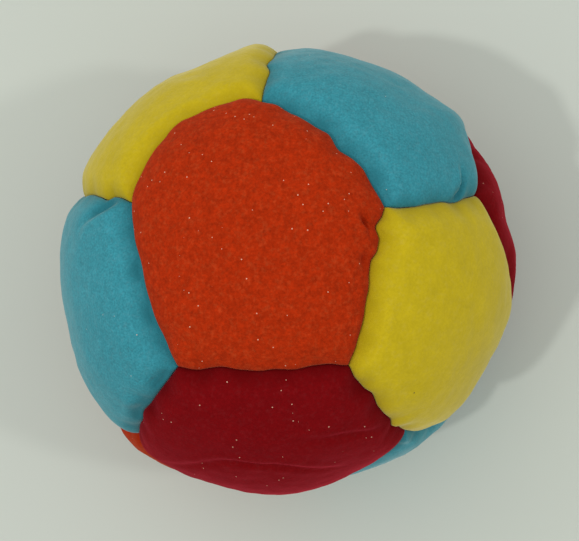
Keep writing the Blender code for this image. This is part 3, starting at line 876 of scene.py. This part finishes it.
def press_out(panel):
    """Lets the sand press one panel's suede out by a cloth simulation, and keeps how far each point moved."""
    scene = bpy.context.scene
    points, faces, grips = coarse_sheet(panel)
    sheet = add_mesh("sheet", points * CLOTH_SCALE, faces)
    group = sheet.vertex_groups.new(name="seams")
    for i, grip in enumerate(grips):
        group.add([i], float(grip), "REPLACE")
    cloth = sheet.modifiers.new("cloth", "CLOTH")
    cloth.point_cache.frame_start, cloth.point_cache.frame_end = 1, CLOTH_FRAMES
    for name, value in CLOTH.items():
        setattr(cloth.settings, name, value)
    cloth.settings.effector_weights.gravity = 0.0
    cloth.collision_settings.use_collision = False
    for moment in range(1, CLOTH_FRAMES + 1):
        scene.frame_set(moment)
    solved = sheet.evaluated_get(bpy.context.evaluated_depsgraph_get()).to_mesh()
    ends = np.empty(points.size)
    solved.vertices.foreach_get("co", ends)
    bpy.data.meshes.remove(sheet.data)
    scene.frame_set(1)
    moved = ends.reshape(-1, 3) / CLOTH_SCALE - points
    length = np.linalg.norm(moved, axis=1, keepdims=True)
    moved *= np.minimum(1.0, CLOTH_MOST / np.maximum(length, 1e-9))
    rings = moved[1:].reshape(SHEET_RINGS, -1, 3)
    inner = smooth((SHEET_RINGS - 1 - np.arange(SHEET_RINGS)) / RIM_RINGS)[:, None, None]
    for _ in range(SMOOTHINGS):
        along = np.roll(rings, 1, 1) - 2 * rings + np.roll(rings, -1, 1)
        rings += (RIM_SMOOTHING + (1 - RIM_SMOOTHING) * inner) * along / 4
        rings[1:-1] += inner[1:-1] * (rings[:-2] - 2 * rings[1:-1] + rings[2:]) / 4
    middle = np.broadcast_to(moved[0], rings[:1].shape)
    PRESSED[panel.name] = np.concatenate([middle, rings])


def build_panel(name):
    """One suede panel: its crowned face, rolled edge, seam allowance with needle holes, and back."""
    shape = bpy.context.scene.footbag_shape
    panel = Panel(name, shape)
    pitch, rings = FINENESS[name.split("_")[0]]
    columns = panel.columns(pitch, True)
    plan = []
    for ring in range(1, rings + 1):
        even = ring / rings
        out = EVEN_SHARE * even + (1 - EVEN_SHARE) * math.sin(math.pi / 2 * even)
        plan.append((panel.edge_share * out, {"fine": True}))
    back_share = panel.inset(shape.gap / 2 + shape.suede)
    hole_bottom = shape.bite + shape.hole
    raw = hole_bottom + shape.raw_margin
    depths = (shape.bite / 2, shape.bite, hole_bottom, raw)
    plan += [(panel.edge_share, {"height": -depth}) for depth in depths]
    plan += [(back_share, {"height": -depth}) for depth in reversed(depths[1:])]
    under_roll = panel.inset(shape.gap / 2 + shape.suede + shape.roll_reach / 4)
    plan += [(share, {"sink": shape.suede}) for share in (under_roll, *BACK_SHARES)]

    rows, grooves = zip(*(panel.row(columns, share, **how) for share, how in plan))
    front, back = (panel.row(columns, 0.0, **how)[0][0] for how in ({"fine": True}, {"sink": shape.suede}))
    hole_rows = (rings + 1, rings + 5)
    faces = shell_faces(len(rows), len(columns.places), holes=columns.holes, hole_rows=hole_rows)
    vertices = [front, *np.concatenate(rows), back]
    material = suede(panel.colour)
    piece = put_in_scene(f"suede_{name}", vertices, faces, material, f"{name}_panel")
    # Each point keeps, as its groove attribute, how much shade is painted on it in the seams' and folds'
    # hollows
    groove = piece.data.attributes.new("groove", "FLOAT", "POINT")
    groove.data.foreach_set("value", np.concatenate([[0.0], *grooves, [0.0]]).astype(np.float32))


def fill(tree, node, inputs):
    """Fills a node's inputs with values, or links them to the outputs of other nodes."""
    for name, value in dict(inputs).items():
        if isinstance(value, bpy.types.NodeSocket):
            tree.links.new(value, node.inputs[name])
        else:
            node.inputs[name].default_value = value


def add_node(tree, kind, settings=(), inputs=()):
    """Adds a node with its settings, and fills or links its inputs. A ramp's stops are (place, grey)."""
    node = tree.nodes.new(f"ShaderNode{kind}")
    for name, value in dict(settings).items():
        if name == "stops":
            for element, (place, grey) in zip(node.color_ramp.elements, value):
                element.position = place
                element.color = (grey, grey, grey, 1.0)
        else:
            setattr(node, name, value)
    fill(tree, node, inputs)
    return node


def shaded(tree, under, mask, *stops):
    """A colour multiplied by the shades that a mask's stops give."""
    shade = add_node(tree, "ValToRGB", {"stops": stops}, {"Fac": mask}).outputs["Color"]
    settings = {"data_type": "RGBA", "blend_type": "MULTIPLY"}
    return add_node(tree, "Mix", settings, {0: 1.0, 6: under, 7: shade}).outputs[2]


def covered(tree, under, over, mask, *stops):
    """A colour covered by another, as thickly as a mask says, or its stops if there are any."""
    if stops:
        mask = add_node(tree, "ValToRGB", {"stops": stops}, {"Fac": mask}).outputs["Color"]
    return add_node(tree, "Mix", {"data_type": "RGBA"}, {0: mask, 6: under, 7: over}).outputs[2]


def spots(tree, place, size, width, share, apart):
    """A mask of round spots of a width, in a share of the cells of a size."""
    moved = add_node(tree, "VectorMath", {"operation": "ADD"}, {0: place, 1: (apart,) * 3}).outputs[0]
    cells = add_node(tree, "TexVoronoi", inputs={"Vector": moved, "Scale": 1 / size})
    picked = add_node(tree, "SeparateColor", inputs={"Color": cells.outputs["Color"]})
    near, some = (
        add_node(tree, "Math", {"operation": "LESS_THAN"}, {0: value, 1: limit}).outputs[0]
        for value, limit in ((cells.outputs["Distance"], width / size), (picked.outputs["Red"], share))
    )
    return add_node(tree, "Math", {"operation": "MULTIPLY"}, {0: near, 1: some}).outputs[0]


def new_material(name):
    """A new material, its node tree, its shader, and the place on the object that its patterns hang on."""
    material = bpy.data.materials.new(name)
    material.use_nodes = True
    tree = material.node_tree
    return material, tree, tree.nodes["Principled BSDF"], add_node(tree, "TexCoord").outputs["Object"]


def suede(colour):
    """Synthetic suede: fine fibres felted together, dyed through and brushed up. The nap breaks up the light,
    so that there is no gloss but a pale bloom where it is seen edge on. Brushing leaves it blotchy and lifts
    pale tips, and it holds dust and grains of the fill. Shade is painted into the seams and folds: the dye
    darkens where their hollows lie. Real tufts are near 0.1 mm, too fine to show, so they are drawn two to
    three times as coarse. The orange is the coarsest and holds the most grains, and the yellow is smoothest."""
    name = f"brushed_suede_{colour}"
    if name in bpy.data.materials:
        return bpy.data.materials[name]
    material, tree, shader, place = new_material(name)
    finish = FINISHES[colour]
    dye = tuple(getattr(bpy.context.scene.footbag_colours, colour))

    patterns = []
    for size, detail, apart in (
        (finish.nap, 2.0, 0.0),
        (finish.mottle, 3.0, 1.7),
        (BROAD_PATCH, 2.0, 4.1),
        (TIPS_TO_NAP * finish.nap, 2.0, 7.3),
    ):
        inputs = {"Vector": place, "W": apart, "Scale": 1 / size, "Detail": detail, "Roughness": 0.6}
        patterns.append(add_node(tree, "TexNoise", {"noise_dimensions": "4D"}, inputs).outputs["Fac"])
    tufts, brushed, broad, tips = patterns
    base = shaded(tree, dye, tufts, (0.32, 1 - finish.nap_shade), (0.68, 1.0))
    base = shaded(tree, base, brushed, (0.3, 1 - finish.mottle_shade), (0.7, 1.0))
    base = shaded(tree, base, broad, (0.3, 0.94), (0.7, 1.0))
    base = covered(tree, base, srgb(finish.frost_colour), tips, (0.5, 0.0), (0.8, finish.frost))

    # Painted shade: the dye turns toward a darker copy of itself where the groove attribute marks a seam's or
    # fold's hollow
    groove = add_node(tree, "Attribute", {"attribute_name": "groove"}).outputs["Fac"]
    painted_groove_shade = (*(finish.deep * part**DEEP_POWER for part in dye[:3]), 1.0)
    base = covered(tree, base, painted_groove_shade, groove, (0.25, 0.0), (0.95, 0.75))
    dirt = spots(tree, place, 1.1 * MM, 0.08 * MM, finish.dirt, 0.31)
    base = covered(tree, base, DIRT_COLOUR, dirt)
    grain = spots(tree, place, 0.5 * MM, 0.07 * MM, finish.grains, 0.73)
    base = covered(tree, base, GRAIN_COLOUR, grain, (0.0, 0.0), (1.0, 0.6))

    rough = add_node(tree, "ValToRGB", {"stops": ((0.0, 0.95), (1.0, 0.4))}, {"Fac": grain})
    bump = add_node(tree, "Bump", inputs={"Height": brushed, "Strength": 0.3, "Distance": 0.12 * MM})
    over = {"Height": tufts, "Strength": 0.5, "Distance": 0.08 * MM, "Normal": bump.outputs[0]}
    fill(tree, shader, {
        "Base Color": base,
        "Roughness": rough.outputs["Color"],
        "Normal": add_node(tree, "Bump", inputs=over).outputs[0],
        "Specular IOR Level": 0.05,
        "Sheen Weight": finish.bloom,
        "Sheen Roughness": 0.4,
        "Sheen Tint": srgb(finish.bloom_colour),
    })
    return material


def waxed_thread():
    """Bonded polyester thread, twisted and waxed. The wax gives it a soft shine over the dull fibres."""
    material, tree, shader, place = new_material("waxed_polyester_thread")
    fibres = add_node(tree, "TexNoise", inputs={"Vector": place, "Scale": 1 / (0.1 * MM)}).outputs["Fac"]
    rough = add_node(tree, "ValToRGB", {"stops": ((0.3, 0.6), (0.7, 0.4))}, {"Fac": fibres})
    dye = tuple(bpy.context.scene.footbag_colours.thread)
    fill(tree, shader, {
        "Base Color": shaded(tree, dye, fibres, (0.3, 0.7), (0.7, 1.0)),
        "Roughness": rough.outputs["Color"],
        "Coat Weight": 0.2,
        "Coat Roughness": 0.4,
    })
    return material


def play_sand():
    """Washed quartz sand. Each grain has its own shade of buff, and some are clear enough to glint."""
    material, tree, shader, place = new_material("quartz_sand")
    grains = add_node(tree, "TexVoronoi", inputs={"Vector": place, "Scale": 1 / (0.25 * MM)})
    shade = add_node(tree, "SeparateColor", inputs={"Color": grains.outputs["Color"]})
    rough = add_node(tree, "ValToRGB", {"stops": ((0.8, 0.9), (0.95, 0.3))}, {"Fac": shade.outputs["Green"]})
    bumps = {"Height": grains.outputs["Distance"], "Strength": 0.8, "Distance": 0.1 * MM}
    buff = tuple(bpy.context.scene.footbag_colours.sand)
    fill(tree, shader, {
        "Base Color": shaded(tree, buff, shade.outputs["Red"], (0.0, 0.45), (1.0, 1.0)),
        "Roughness": rough.outputs["Color"],
        "Normal": add_node(tree, "Bump", inputs=bumps).outputs[0],
    })
    return material


def painted_board():
    """A pale matt table top, rolled with emulsion, a shade uneven."""
    material, tree, shader, place = new_material("matt_painted_board")
    uneven = add_node(tree, "TexNoise", inputs={"Vector": place, "Scale": 1 / (60 * MM)}).outputs["Fac"]
    paint = tuple(bpy.context.scene.footbag_colours.floor)
    base = shaded(tree, paint, uneven, (0.3, 0.97), (0.7, 1.0))
    fill(tree, shader, {"Base Color": base, "Roughness": 0.85, "Specular IOR Level": 0.1})
    return material


def soft_room(strength):
    """Even light from all round, stronger from the ceiling than from the walls but the back left one."""
    world = bpy.data.worlds.new("soft_room")
    world.use_nodes = True
    tree = world.node_tree
    way = add_node(tree, "TexCoord").outputs["Generated"]
    height = add_node(tree, "SeparateXYZ", inputs={"Vector": way}).outputs["Z"]
    wall = {0: way, 1: toward(*(math.radians(degrees) for degrees in BRIGHT_WALL))}
    side = add_node(tree, "VectorMath", {"operation": "DOT_PRODUCT"}, wall).outputs["Value"]
    room, bright = (
        add_node(tree, "ValToRGB", {"stops": stops}, {"Fac": mask}).outputs["Color"]
        for mask, stops in ((height, ((0.0, 0.55), (1.0, 1.15))), (side, ((0.4, 0.0), (1.0, 0.5))))
    )
    light = add_node(tree, "Mix", {"data_type": "RGBA", "blend_type": "ADD"}, {0: 1.0, 6: room, 7: bright})
    fill(tree, tree.nodes["Background"], {"Color": light.outputs[2], "Strength": strength})
    return world


def thread_route(seam, shape):
    """The thread's turns as (share, across, radius): a knot, then in and out of the holes, and a knot."""
    thin, thick = shape.thread / 2, shape.knot / 2
    reach = shape.gap / 2 + shape.suede + thin + THREAD_CLEARANCE
    near = HOLE_CLEARANCE + thin
    centre = reach - thin + thick
    knot = np.array([
        (0.0, reach, thin),
        (near, centre, thick),
        (near + shape.knot / 2, centre, thick),
        (near + shape.knot, centre, thin),
    ])
    knot[:, 0] /= seam.length
    route = [(STITCH_SHARES[0] - run, across, radius) for run, across, radius in reversed(knot)]
    side = 1
    for start, end in zip(STITCH_SHARES, STITCH_SHARES[1:]):
        side = -side
        route += [(start, side * reach, thin), (end, side * reach, thin)]
    route += [(STITCH_SHARES[-1] + run, -side * across, radius) for run, across, radius in knot]
    return np.array(route)


def build_thread(name, seam, shape, material):
    """One seam's thread: two twisted plies on the route, with its corners rounded by their own stiffness."""
    shares, offsets, widths = thread_route(seam, shape).T
    depth = shape.bite + shape.hole / 2
    points, normals = NET.at(seam.direction(shares))
    sway = offsets + seam.shift(shares, -depth / shape.roll_height)
    path = settled(points + seam.left_at(shares) * sway[:, None] - normals * depth, 0.0)
    runs = np.concatenate([[0.0], np.cumsum(np.linalg.norm(np.diff(path, axis=0), axis=1))])
    steps = np.linspace(0, runs[-1], round(runs[-1] / THREAD_STEP) + 1)
    line = np.stack([np.interp(steps, runs, path[:, i]) for i in range(3)], -1)
    radii = np.interp(steps, runs, widths)
    for _ in range(THREAD_ROUNDINGS):
        line[1:-1] = (line[:-2] + 2 * line[1:-1] + line[2:]) / 4
    way = unit(np.gradient(line, axis=0))
    up = NET.at(seam.direction(np.array([0.5])))[1][0]
    across = unit(np.cross(up, way))
    over = np.cross(way, across)
    turns = 2 * math.pi * np.arange(THREAD_SIDES) / THREAD_SIDES
    plies = 1 - PLY_DEPTH * (1 - np.abs(np.cos(turns - math.pi * steps[:, None] / PLY_TWIST)))
    spokes = across[:, None] * np.cos(turns)[:, None] + over[:, None] * np.sin(turns)[:, None]
    vertices = (line[:, None] + spokes * (radii[:, None] * plies)[..., None]).reshape(-1, 3)
    last = len(vertices) - THREAD_SIDES
    faces = []
    for low in range(0, last, THREAD_SIDES):
        high = low + THREAD_SIDES
        ring = [(k, (k + 1) % THREAD_SIDES) for k in range(THREAD_SIDES)]
        faces += [(low + k, low + n, high + n, high + k) for k, n in ring]
    faces += [tuple(reversed(range(THREAD_SIDES))), tuple(range(last, last + THREAD_SIDES))]
    put_in_scene(f"waxed_{name}", vertices, faces, material, name)


def welded(vertices, faces):
    """The vertices with those at one place made one, and the faces that use them."""
    keys, first = {}, []
    for i, vertex in enumerate(np.rint(vertices / WELD_REACH).astype(int)):
        first.append(keys.setdefault(tuple(vertex), i))
    used = sorted(set(first))
    place = {old: new for new, old in enumerate(used)}
    return vertices[used], [tuple(place[first[i]] for i in face) for face in faces]


class FOOTBAG_OT_press(bpy.types.Operator):
    """Press the suede of each panel out over the sand by a cloth simulation"""

    bl_idname = "footbag.press"
    bl_label = "Press out"

    def execute(self, context):
        PRESSED.clear()
        for name in PLAN:
            press_out(Panel(name, context.scene.footbag_shape))
        return {"FINISHED"}


class FOOTBAG_OT_panels(bpy.types.Operator):
    """Build the twelve suede panels: the top one, the five round it, the five round the base, and the base"""

    bl_idname = "footbag.panels"
    bl_label = "Panels"

    def execute(self, context):
        for name in PLAN:
            build_panel(name)
        return {"FINISHED"}


class FOOTBAG_OT_threads(bpy.types.Operator):
    """Build the waxed thread of each of the thirty seams"""

    bl_idname = "footbag.threads"
    bl_label = "Threads"

    def execute(self, context):
        material = waxed_thread()
        sewn = {}
        for panel, (_, loop) in PLAN.items():
            for side in sides(loop):
                sewn.setdefault(seam_key(side), []).append(panel)
        for key, (first, second) in sewn.items():
            build_thread(f"thread_{first}_to_{second}", SEAMS[key], context.scene.footbag_shape, material)
        return {"FINISHED"}


class FOOTBAG_OT_sand(bpy.types.Operator):
    """Build the sand: a crowned heap under each panel, and a channel along each seam"""

    bl_idname = "footbag.sand"
    bl_label = "Sand"

    def execute(self, context):
        shape = context.scene.footbag_shape
        sink = shape.suede + FILL_CLEARANCE
        wall = shape.gap / 2 + shape.suede + THREAD_CLEARANCE + shape.knot + shape.thread + FILL_CLEARANCE
        depth = shape.bite + shape.hole + shape.raw_margin + FILL_CLEARANCE
        random = np.random.default_rng(SAND_SEED)
        vertices, faces = [], []
        for name in PLAN:
            panel = Panel(name, shape)
            columns = panel.columns(SAND_PITCH, False)
            heap = np.linspace(0, panel.inset(wall), SAND_RINGS + 1)
            channel = (panel.inset(wall), panel.inset(wall / 2), 1.0)
            rows = [panel.row(columns, share, sink=sink)[0] for share in heap[1:]]
            rows += [panel.row(columns, share, height=-depth)[0] for share in channel]
            for row in rows[:-2]:
                row += random.uniform(-1, 1, row.shape) * GRAIN_ROUGHNESS
            start = len(vertices)
            vertices += [panel.row(columns, 0.0, sink=sink)[0][0], *np.concatenate(rows)]
            for face in shell_faces(len(rows), len(columns.places), closed=False):
                faces.append(tuple(start + i for i in face))
        vertices, faces = welded(np.array(vertices), faces)
        put_in_scene("loose_sand", vertices, faces, play_sand(), "sand_fill")
        return {"FINISHED"}


def add_lamp(name, place, strength):
    """A far lamp at a place in the sky: its compass direction, height and softness, in degrees."""
    compass, elevation, softness = (math.radians(degrees) for degrees in place)
    data = bpy.data.lights.new(name, "SUN")
    data.energy = strength
    data.angle = softness
    lamp = add_object(name, data)
    lamp.rotation_mode = "QUATERNION"
    lamp.rotation_quaternion = Vector(-toward(math.pi / 2 - elevation, compass)).to_track_quat("-Z", "Y")


def facing(back, up):
    """The turn of a camera whose back faces one way, and whose top faces another as nearly as it can."""
    up = (up - back * up.dot(back)).normalized()
    return Matrix((up.cross(back), up, back)).transposed()


def add_camera():
    """The camera, turned a little aside from the bag's middle."""
    back = Vector(toward(math.pi / 2 - CAMERA_ELEVATION, CAMERA_AZIMUTH - math.pi / 2))
    right, up, _ = facing(back, Vector((-math.sin(CAMERA_ROLL), math.cos(CAMERA_ROLL), 0.0))).col
    target = Vector((0.0, 0.0, CAMERA_TARGET_HEIGHT))
    place = target + back * CAMERA_DISTANCE
    aim = target + right * CAMERA_AIM_RIGHT - up * CAMERA_AIM_DOWN
    data = bpy.data.cameras.new("photo_camera")
    data.lens = CAMERA_LENS_MM
    data.sensor_width = SENSOR_WIDTH_MM
    data.clip_start = CAMERA_NEAREST
    camera = add_object("photo_camera", data)
    camera.matrix_world = Matrix.Translation(place) @ facing((place - aim).normalized(), up).to_4x4()
    bpy.context.scene.camera = camera


class FOOTBAG_OT_stage(bpy.types.Operator):
    """Build the floor, the lamps, the world and the camera"""

    bl_idname = "footbag.stage"
    bl_label = "Stage"

    def execute(self, context):
        light = context.scene.footbag_light
        half = FLOOR_SIZE / 2
        corners = [(-half, -half, 0), (half, -half, 0), (half, half, 0), (-half, half, 0)]
        add_mesh("table_top", corners, [(0, 1, 2, 3)], painted_board())
        context.scene.world = soft_room(light.sky)
        add_lamp("key_lamp", KEY_LAMP, light.key)
        add_lamp("side_lamp", SIDE_LAMP, light.side)
        add_camera()
        context.scene.view_settings.view_transform = "Standard"
        return {"FINISHED"}


OPERATORS = (
    FOOTBAG_OT_stage,
    FOOTBAG_OT_press,
    FOOTBAG_OT_panels,
    FOOTBAG_OT_threads,
    FOOTBAG_OT_sand,
)
GROUPS = {"footbag_shape": FootbagShape, "footbag_colours": FootbagColours, "footbag_light": FootbagLight}


class FOOTBAG_PT_sidebar(bpy.types.Panel):
    """The footbag's steps and sizes in the sidebar"""

    bl_idname = "FOOTBAG_PT_sidebar"
    bl_label = "Footbag"
    bl_space_type = "VIEW_3D"
    bl_region_type = "UI"
    bl_category = "Footbag"

    def draw(self, context):
        for group in GROUPS:
            box = self.layout.box()
            for name in GROUPS[group].__annotations__:
                box.prop(getattr(context.scene, group), name)
        for operator in OPERATORS:
            self.layout.operator(operator.bl_idname)


CLASSES = (*GROUPS.values(), *OPERATORS, FOOTBAG_PT_sidebar)


def register():
    for each in CLASSES:
        bpy.utils.register_class(each)
    for name, group in GROUPS.items():
        setattr(bpy.types.Scene, name, bpy.props.PointerProperty(type=group))


def unregister():
    for name in GROUPS:
        delattr(bpy.types.Scene, name)
    for each in reversed(CLASSES):
        bpy.utils.unregister_class(each)


def main():
    register()
    bpy.ops.footbag.stage()
    bpy.ops.footbag.press()
    bpy.ops.footbag.panels()
    bpy.ops.footbag.threads()
    bpy.ops.footbag.sand()


if __name__ == "__main__":
    main()
